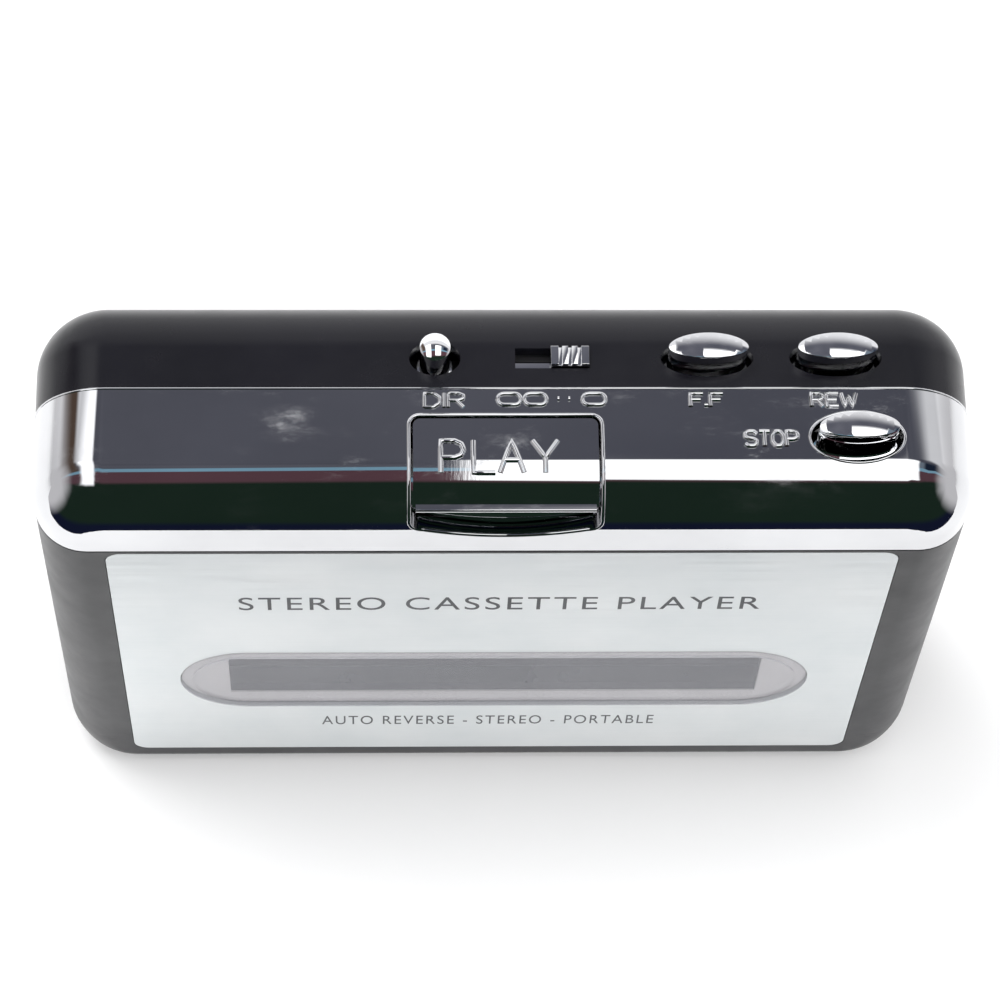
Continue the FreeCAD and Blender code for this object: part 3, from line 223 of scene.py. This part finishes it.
MATERIALS = {
    "shell_black": satin_black(),
    "door_grey": plastic("door_grey", (0.010, 0.010, 0.0125), (0.015, 0.015, 0.018),
                         (0.34, 0.42), 2400.0, 0.000002).material,
    "chrome_plate": chrome("chrome_plate", (0.60, 0.605, 0.62), (0.68, 0.685, 0.70)),
    "panel_silver": panel_metal(),
    "lens_clear": lens_material(),
    "mask_grey": plastic("mask_film", (0.78, 0.75, 0.75), (0.84, 0.81, 0.81),
                         (0.35, 0.5), 800.0, 0.0).material,
    "steel": metal("steel_plate", (0.50, 0.51, 0.52), (0.58, 0.59, 0.60),
                   (0.30, 0.38), (0.03, 1, 1), 900.0, 0.000002).material,
    "spring_steel": metal("spring_steel", (0.62, 0.62, 0.60), (0.74, 0.73, 0.70),
                          (0.15, 0.3), (1, 1, 0.05)).material,
    "zinc_screw": metal("zinc_screw", (0.32, 0.33, 0.36), (0.48, 0.49, 0.52),
                        (0.25, 0.42), (1, 1, 1), 1600.0).material,
    "white_plastic": plastic("acetal_white", (0.66, 0.65, 0.60), (0.76, 0.75, 0.70),
                             (0.35, 0.48), 1500.0, 0.000008).material,
    "black_plastic": plastic("black_moulding", (0.016, 0.016, 0.018), (0.028, 0.028, 0.031),
                             (0.38, 0.55), 1700.0, 0.00001).material,
    "brass": metal("turned_brass", (0.55, 0.40, 0.16), (0.70, 0.53, 0.24),
                   (0.18, 0.34), (1, 0.03, 1), 1400.0).material,
    "rubber_black": plastic("rubber_black", (0.014, 0.014, 0.014), (0.026, 0.026, 0.026),
                            (0.6, 0.8), 1200.0, 0.00002).material,
    "board_green": board_material(),
    "part_black": plastic("chip_black", (0.015, 0.015, 0.016), (0.03, 0.03, 0.032),
                          (0.4, 0.6), 2500.0, 0.00001).material,
    "cell_sleeve": cell_material(),
    "motor_can": metal("motor_can", (0.52, 0.52, 0.51), (0.64, 0.64, 0.62),
                       (0.2, 0.36), (1, 0.05, 1), 700.0).material,
}
MATERIALS["ink"] = plastic("panel_ink", (0.045, 0.047, 0.052), (0.075, 0.078, 0.084),
                           (0.4, 0.55), 1500.0, 0.0).material
KEY_CHROME = chrome("key_chrome", (0.90, 0.905, 0.92), (0.95, 0.955, 0.965))

# widths of the softened edges, in millimetres
BEVELS = {"stop_key": 0.14, "wind_key": 0.14, "rewind_key": 0.14, "direction_key": 0.12, "mode_knob": 0.08}


def finish_node(name, slot_name):
    """Gives a CAD node its material, softened edges if it is listed in BEVELS, and shading that stays flat on
    flat faces.
    """
    obj = nodes[name]
    obj.data.materials.clear()
    plated_key = name in BEVELS and slot_name == "chrome_plate"
    obj.data.materials.append(KEY_CHROME if plated_key else MATERIALS[slot_name])
    for layer in [a for a in obj.data.attributes if a.name == "custom_normal"]:
        obj.data.attributes.remove(layer)
    for face in obj.data.polygons:
        face.use_smooth = True
    weld = obj.modifiers.new("weld", "WELD")
    weld.merge_threshold = WELD_DISTANCE
    if name in BEVELS:
        bevel = obj.modifiers.new("soft_edges", "BEVEL")
        bevel.width = BEVELS[name] * MM
        bevel.segments = 3
        bevel.limit_method = "ANGLE"
        bevel.angle_limit = math.radians(42)
        bevel.use_clamp_overlap = True
    else:
        split = obj.modifiers.new("split", "EDGE_SPLIT")
        split.split_angle = SHARP_ANGLE
    normals = obj.modifiers.new("normals", "WEIGHTED_NORMAL")
    normals.keep_sharp = True
    normals.weight = 80


for part in frame["record"]["subparts"]:
    finish_node(part["node"], part["material_slot"])


# ---- surfaces and marks ----
def top_height(y):
    """Height of the casing's top surface at depth y."""
    if y >= EDGE_Y:
        return TOP_Z
    return EDGE_Z + math.sqrt(max(0.0, EDGE_R ** 2 - (y - EDGE_Y) ** 2))


def link_mesh(name, mesh, slot_name, body, smooth=True):
    """Puts a new piece in the scene on its body, with its material."""
    obj = bpy.data.objects.new(name, mesh)
    bpy.context.scene.collection.objects.link(obj)
    mesh.materials.clear()
    mesh.materials.append(MATERIALS[slot_name])
    for face in mesh.polygons:
        face.use_smooth = smooth
    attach(obj, body)
    return obj


def clear_lens(gap):
    """Lens whose back stands a hair off the film behind it, so that the two faces never coincide."""
    node = nodes["window_lens"]
    mesh = node.data.copy()
    mesh.transform(node.matrix_world)
    back = max(v.co.y for v in mesh.vertices)
    for v in mesh.vertices:
        if back - v.co.y < SAME_PLANE:
            v.co.y -= gap * MM
    piece = link_mesh("lens_body", mesh, "lens_clear", "door")
    piece.modifiers.new("split", "EDGE_SPLIT").split_angle = SHARP_ANGLE
    piece.modifiers.new("normals", "WEIGHTED_NORMAL").keep_sharp = True
    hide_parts("window_lens")


clear_lens(LENS_GAP)


def letters(text, spacing, extrude):
    """Flat lettering as a mesh."""
    curve = bpy.data.curves.new("letters", "FONT")
    curve.body = text
    curve.space_character = spacing
    curve.extrude = extrude
    curve.resolution_u = 6
    holder = bpy.data.objects.new("letters", curve)
    bpy.context.scene.collection.objects.link(holder)
    bpy.context.view_layer.update()
    mesh = bpy.data.meshes.new_from_object(holder.evaluated_get(bpy.context.evaluated_depsgraph_get()))
    bpy.data.objects.remove(holder)
    return mesh


def fit(mesh, to_point, span_x, span_y):
    """Stretches flat lettering to a rectangle and puts each vertex where to_point(x, y, height) says."""
    low = [min(v.co[k] for v in mesh.vertices) for k in range(3)]
    size = [max(max(v.co[k] for v in mesh.vertices) - low[k], 1e-9) for k in range(3)]
    for v in mesh.vertices:
        x = span_x[0] + (v.co.x - low[0]) / size[0] * (span_x[1] - span_x[0])
        y = span_y[0] + (v.co.y - low[1]) / size[1] * (span_y[1] - span_y[0])
        v.co = Vector(to_point(x, y, (v.co.z - low[2]) / size[2])) * MM


STROKES = {
    "P": [[(0, 0), (0, 1), (0.6, 1), (0.9, 0.9), (1, 0.73), (0.9, 0.55), (0.6, 0.46), (0, 0.46)]],
    "L": [[(0, 1), (0, 0), (1, 0)]],
    "A": [[(0, 0), (0.5, 1), (1, 0)], [(0.2, 0.38), (0.8, 0.38)]],
    "Y": [[(0, 1), (0.5, 0.46), (1, 1)], [(0.5, 0.46), (0.5, 0)]],
    "S": [[(1, 0.85), (0.75, 1), (0.25, 1), (0, 0.85), (0, 0.65), (0.25, 0.53), (0.75, 0.47), (1, 0.35),
           (1, 0.15), (0.75, 0), (0.25, 0), (0, 0.15)]],
    "T": [[(0, 1), (1, 1)], [(0.5, 1), (0.5, 0)]],
    "O": [[(0.3, 0), (0.7, 0), (1, 0.3), (1, 0.7), (0.7, 1), (0.3, 1), (0, 0.7), (0, 0.3), (0.3, 0)]],
    "R": [[(0, 0), (0, 1), (0.65, 1), (1, 0.85), (1, 0.62), (0.65, 0.48), (0, 0.48)], [(0.55, 0.48), (1, 0)]],
    "E": [[(1, 1), (0, 1), (0, 0), (1, 0)], [(0, 0.5), (0.85, 0.5)]],
    "W": [[(0, 1), (0.25, 0), (0.5, 0.8), (0.75, 0), (1, 1)]],
    "D": [[(0, 0), (0, 1), (0.6, 1), (1, 0.7), (1, 0.3), (0.6, 0), (0, 0)]],
    "I": [[(0.5, 0), (0.5, 1)]],
    "F": [[(0, 0), (0, 1), (1, 1)], [(0, 0.52), (0.8, 0.52)]],
    ".": [[(0.0, 0.1), (1.0, 0.1)]],
}


def embossed(name, text, widths, span_x, span_y, stroke, slot_name, body):
    """Raised single-stroke lettering that follows the top, read from the front.

    widths gives each letter's width and the gap after it, in shares of the whole line.
    """
    unit = (span_x[1] - span_x[0]) / sum(w + gap for w, gap in widths)
    x = span_x[0]
    pieces = []
    for letter, (width, gap) in zip(text, widths):
        for line in STROKES[letter]:
            points = []
            for (ax, ay), (bx, by) in zip(line, line[1:]):
                for k in range(4):
                    points.append((ax + (bx - ax) * k / 4, ay + (by - ay) * k / 4))
            points.append(line[-1])
            placed = []
            for u, v in points:
                y = span_y[0] + v * (span_y[1] - span_y[0])
                placed.append((x + u * width * unit, y, top_height(y)))
            pieces.append(placed)
        x += (width + gap) * unit
    return beads(name, pieces, stroke, slot_name, body)


def printed(name, text, span_x, span_z, spacing):
    """Ink on the door panel."""
    mesh = letters(text, spacing, 0.004)
    fit(mesh, lambda x, z, h: (x, PANEL_Y - h * PRINT_DEPTH, z), span_x, span_z)
    return link_mesh(name, mesh, "ink", "door", smooth=False)


def beads(name, lines, radius, slot_name, body, closed=False):
    """Round beads along lines of points in millimetres, as one piece."""
    curve = bpy.data.curves.new(name, "CURVE")
    curve.dimensions = "3D"
    for points in lines:
        spline = curve.splines.new("POLY")
        spline.points.add(len(points) - 1)
        for point, at in zip(spline.points, points):
            point.co = (*(Vector(at) * MM), 1.0)
        spline.use_cyclic_u = closed
    curve.bevel_depth = radius * MM
    curve.bevel_resolution = 4
    curve.use_fill_caps = True
    holder = bpy.data.objects.new("bead", curve)
    bpy.context.scene.collection.objects.link(holder)
    bpy.context.view_layer.update()
    mesh = bpy.data.meshes.new_from_object(holder.evaluated_get(bpy.context.evaluated_depsgraph_get()))
    bpy.data.objects.remove(holder)
    return link_mesh(name, mesh, slot_name, body)


# ---- lettering and marks ----
embossed("label_play", "PLAY", ((1, 0.42), (0.95, 0.2), (1.05, 0.38), (1.1, 0)), (-7.8, 6.2), (-10.2, -6.1),
         0.34, "chrome_plate", "play")
embossed("label_direction", "DIR", ((1, 0.12), (0.3, 0.12), (1, 0)), (-9.7, -5.0), (-1.6, 0.25), 0.24,
         "chrome_plate", "housing")
embossed("label_wind", "F.F", ((1, 0.1), (0.3, 0.2), (1, 0)), (22.3, 26.2), (-1.5, 0.2), 0.29,
         "chrome_plate", "housing")
embossed("label_rewind", "REW", ((1, 0.3), (1, 0.25), (1.3, 0)), (36.9, 42.3), (-1.5, 0.2), 0.29,
         "chrome_plate", "housing")
embossed("label_stop", "STOP", ((1, 0.25), (0.9, 0.25), (1, 0.25), (1, 0)), (28.7, 35.0), (-6.8, -4.9), 0.3,
         "chrome_plate", "housing")


def loop_points(x0, x1, y0, y1, z):
    """Outline of a bar with round ends."""
    r = (y1 - y0) / 2
    points = []
    for centre, start in ((x1 - r, -90), (x0 + r, 90)):
        for step in range(9):
            a = math.radians(start + 180 * step / 8)
            points.append((centre + r * math.cos(a), (y0 + y1) / 2 + r * math.sin(a), z))
    return points


loops = [loop_points(x0, x1, -1.3, 0.2, TOP_Z) for x0, x1 in ((-0.9, 1.9), (2.3, 5.0), (9.3, 12.1))]
beads("mode_loops", loops, 0.27, "chrome_plate", "housing", closed=True)
dots = [[(x - 0.1, -0.5, TOP_Z), (x + 0.1, -0.5, TOP_Z)] for x in (6.4, 7.7)]
beads("mode_dots", dots, 0.34, "chrome_plate", "housing")

printed("panel_title", "STEREO CASSETTE PLAYER", (-32.7, 32.7), (51.9, 55.8), 1.16)
printed("panel_line", "AUTO REVERSE - STEREO - PORTABLE", (-22.8, 21.8), (13.2, 16.2), 1.2)


# ---- rolled rims round the play key's opening and the stop key's hole ----
RIM_BACK_Y, RIM_HALF_W, RIM_BASE_Z, RIM_BOW_R = -2.6, 11.6, 74.1, 30.0
RIM_BACK_CORNER_R, RIM_LOW_CORNER_R = 1.3, 1.7
PLAY_RIM_SINK, STOP_RIM_SINK = 0.14, 0.06     # how deep the middle of each bead lies
STOP_X, STOP_Y = 42.2, -5.6
STOP_RIM_HALF_W, STOP_RIM_HALF_D = 5.75, 3.4
FLAT_RUN = RIM_BACK_Y - EDGE_Y
ARC_RUN = EDGE_R * math.pi / 2


def over_edge(run, sink):
    """Depth and height of a point, from its distance over the surface forward of the opening's back edge."""
    if run <= FLAT_RUN:
        return RIM_BACK_Y - run, TOP_Z - sink
    if run <= FLAT_RUN + ARC_RUN:
        a = (run - FLAT_RUN) / EDGE_R
        r = EDGE_R - sink
        return EDGE_Y - r * math.sin(a), EDGE_Z + r * math.cos(a)
    return EDGE_Y - EDGE_R + sink, EDGE_Z - (run - FLAT_RUN - ARC_RUN)


def run_to(z):
    """Run at which the surface has come down to height z."""
    if z <= EDGE_Z:
        return FLAT_RUN + ARC_RUN + EDGE_Z - z
    return FLAT_RUN + EDGE_R * math.acos(min(1.0, (z - EDGE_Z) / EDGE_R))


def low_run(x):
    """Run of the opening's bowed lower edge at width x."""
    return run_to(RIM_BASE_Z + RIM_BOW_R - math.sqrt(RIM_BOW_R ** 2 - x * x))


def corner(cx, run, r, start):
    """Quarter turn of a rim, as points of width and run."""
    return [(cx + r * math.cos(math.radians(a)), run - r * math.sin(math.radians(a)))
            for a in range(start, start - 91, -15)]


def play_rim():
    """Closed loop: along the back edge, down the right side, along the bowed lower edge and up the left."""
    back_r, low_r = RIM_BACK_CORNER_R, RIM_LOW_CORNER_R
    side_end = low_run(RIM_HALF_W - low_r) - low_r
    right = corner(RIM_HALF_W - back_r, back_r, back_r, 90)
    right += [(RIM_HALF_W, back_r + (side_end - back_r) * k / 16) for k in range(1, 16)]
    right += corner(RIM_HALF_W - low_r, side_end, low_r, 0)
    low = [(x, low_run(x)) for x in [(RIM_HALF_W - low_r) * k / 12 for k in range(11, 0, -1)]]
    half = right + low
    loop = half + [(0.0, low_run(0.0))] + [(-x, run) for x, run in reversed(half)]
    return [(x, *over_edge(run, PLAY_RIM_SINK)) for x, run in loop]


def stop_rim():
    """Oval round the stop key's hole, following the curved edge."""
    points = []
    for k in range(48):
        a = 2 * math.pi * k / 48
        y = STOP_Y + STOP_RIM_HALF_D * math.sin(a)
        points.append((STOP_X + STOP_RIM_HALF_W * math.cos(a), y, top_height(y) - STOP_RIM_SINK))
    return points


SEAM_CORNER_X, SEAM_CORNER_Z, SEAM_R, SEAM_BEAD_Y = 48.0, 73.0, 8.93, 0.93


def seam_line():
    """Edge of the plating where it meets the rear shell, from one top corner to the other."""
    points = []
    for side in (-1, 1):
        arc = []
        for k in range(13):
            a = math.radians(90 * k / 12)
            x = side * (SEAM_CORNER_X + SEAM_R * math.sin(a))
            arc.append((x, SEAM_BEAD_Y, SEAM_CORNER_Z + SEAM_R * math.cos(a)))
        points += reversed(arc) if side < 0 else arc
    return points


beads("seam_line", [seam_line()], 0.17, "chrome_plate", "housing")
beads("play_rim", [play_rim()], 0.27, "chrome_plate", "housing", closed=True)
beads("stop_rim", [stop_rim()], 0.2, "chrome_plate", "housing", closed=True)


# ---- floor, light and camera ----
def plane(name, y0, y1, material, glossy):
    """Strip of floor, which reflections see only when glossy is true."""
    mesh = bpy.data.meshes.new(name)
    outline = [(-FLOOR_HALF, y0), (FLOOR_HALF, y0), (FLOOR_HALF, y1), (-FLOOR_HALF, y1)]
    mesh.from_pydata([(x, y, FLOOR_Z) for x, y in outline], [], [(0, 1, 2, 3)])
    mesh.materials.append(material)
    obj = bpy.data.objects.new(name, mesh)
    bpy.context.scene.collection.objects.link(obj)
    obj.visible_glossy = glossy


FLOOR_HALF = 3.0                # floor's half size, in metres
FLOOR_SPLIT_Y = -0.062          # nearer the camera than this, reflections pass the floor by
FLOOR_Z = -0.0002
paper = plastic("floor_paper", (0.955, 0.955, 0.955), (0.965, 0.965, 0.965),
                (0.7, 0.8), 300.0, 0.0, 12.0).material
plane("floor_near", FLOOR_SPLIT_Y, FLOOR_HALF, paper, True)
plane("floor_front", -FLOOR_HALF, FLOOR_SPLIT_Y, paper, False)


def build_world():
    """Pale room for the eye; reflections see a dim ceiling, a dark front, pale sides and two windows."""
    world = bpy.data.worlds.new("studio")
    bpy.context.scene.world = world
    world.use_nodes = True
    tree = world.node_tree
    tree.nodes.clear()
    make, link = tree.nodes.new, tree.links.new
    direction = make("ShaderNodeTexCoord").outputs["Generated"]
    split = make("ShaderNodeSeparateXYZ")
    link(direction, split.inputs[0])
    x, y, z = split.outputs

    def math_node(operation, a, b=None):
        made = make("ShaderNodeMath")
        made.operation = operation
        for socket, value in zip(made.inputs, (a, b)):
            if value is None:
                continue
            if isinstance(value, (int, float)):
                socket.default_value = value
            else:
                link(value, socket)
        return made.outputs[0]

    def step(value, a, b):
        made = make("ShaderNodeMapRange")
        made.interpolation_type = "SMOOTHSTEP"
        made.inputs["From Min"].default_value = a
        made.inputs["From Max"].default_value = b
        link(value, made.inputs["Value"])
        return made.outputs["Result"]

    def both(*masks):
        total = masks[0]
        for mask in masks[1:]:
            total = math_node("MULTIPLY", total, mask)
        return total

    def mix(factor, a, b):
        made = make("ShaderNodeMix")
        made.data_type = "RGBA"
        link(factor, made.inputs["Factor"])
        for socket, value in ((made.inputs["A"], a), (made.inputs["B"], b)):
            if isinstance(value, tuple):
                socket.default_value = (*value, 1.0)
            else:
                link(value, socket)
        return made.outputs["Result"]

    noise = make("ShaderNodeTexNoise")
    noise.inputs["Scale"].default_value = 3.0
    noise.inputs["Detail"].default_value = 2.0
    link(direction, noise.inputs["Vector"])
    tilt = math_node("ARCTAN2", math_node("MULTIPLY", y, -1.0), z)
    ceiling = mix(step(noise.outputs["Fac"], 0.3, 0.7), (0.085, 0.088, 0.112), (0.15, 0.152, 0.18))
    # bands by tilt, from the back over the top to the front
    colour = mix(step(tilt, -0.47, -0.62), ceiling, (0.85, 0.85, 0.87))
    colour = mix(step(tilt, -0.80, -0.95), colour, (1.25, 1.25, 1.27))
    # darker patches at the right and a brown one at the left, behind
    colour = mix(both(step(x, 0.20, 0.32), step(tilt, -0.42, -0.36)), colour, (0.17, 0.21, 0.26))
    colour = mix(both(step(x, 0.50, 0.62), step(tilt, -0.50, -0.36)), colour, (0.012, 0.020, 0.040))
    colour = mix(both(step(x, -0.62, -0.70), step(tilt, -1.2, -0.9)), colour, (0.10, 0.068, 0.052))
    # blue line, red band and dark front, in that order
    colour = mix(both(step(tilt, -0.13, -0.09), step(tilt, 0.03, 0.0)), colour, (0.22, 0.40, 0.52))
    colour = mix(step(tilt, 0.0, 0.03), colour, (0.115, 0.058, 0.072))
    colour = mix(step(tilt, 0.36, 0.50), colour, (0.013, 0.026, 0.018))
    colour = mix(step(tilt, 2.0, 2.3), colour, (0.008, 0.011, 0.030))
    right_window = both(step(x, 0.020, 0.028), step(x, 0.46, 0.38),
                        step(tilt, -0.44, -0.38), step(tilt, 0.40, 0.34))
    colour = mix(right_window, colour, (1.9, 1.9, 1.9))
    left_window = both(step(x, -0.25, -0.31), step(x, -0.66, -0.58),
                       step(tilt, -0.60, -0.50), step(tilt, 0.60, 0.45))
    colour = mix(left_window, colour, (1.7, 1.7, 1.72))
    sides = step(math_node("ABSOLUTE", x), 0.74, 0.95)
    colour = mix(sides, colour, (0.74, 0.73, 0.745))
    path = make("ShaderNodeLightPath")
    seen = mix(path.outputs["Is Glossy Ray"], (0.97, 0.97, 0.975), colour)
    background = make("ShaderNodeBackground")
    link(seen, background.inputs["Color"])
    output = make("ShaderNodeOutputWorld")
    link(background.outputs[0], output.inputs[0])


build_world()


def softbox(name, at, size, power, target=(0, 0, 0.04)):
    """Rectangular light turned to the object. It isn't seen in reflections."""
    light = bpy.data.lights.new(name, "AREA")
    light.shape = "RECTANGLE"
    light.size, light.size_y = size
    light.energy = power
    obj = bpy.data.objects.new(name, light)
    bpy.context.scene.collection.objects.link(obj)
    obj.location = at
    obj.rotation_euler = (Vector(target) - Vector(at)).to_track_quat("-Z", "Y").to_euler()
    obj.visible_glossy = False


# places and sizes in metres, power in watts
softbox("key_light", (-0.28, 0.24, 0.95), (0.45, 0.45), 5.0)
softbox("fill_light", (0.5, -0.5, 0.7), (0.8, 0.8), 2.5)

camera_data = bpy.data.cameras.new("camera")
camera_data.lens = 135.78
camera_data.shift_x = -0.0015
camera_data.shift_y = 0.001
camera_data.sensor_width = 36.0      # millimetres, as the lens is
camera = bpy.data.objects.new("camera", camera_data)
camera.location = (-0.015695, -0.203498, 0.486790)
camera.rotation_euler = Euler([math.radians(a) for a in (25.0981, -1.7084, -0.8989)])
bpy.context.scene.collection.objects.link(camera)
bpy.context.scene.camera = camera
bpy.context.scene.view_settings.view_transform = "Standard"
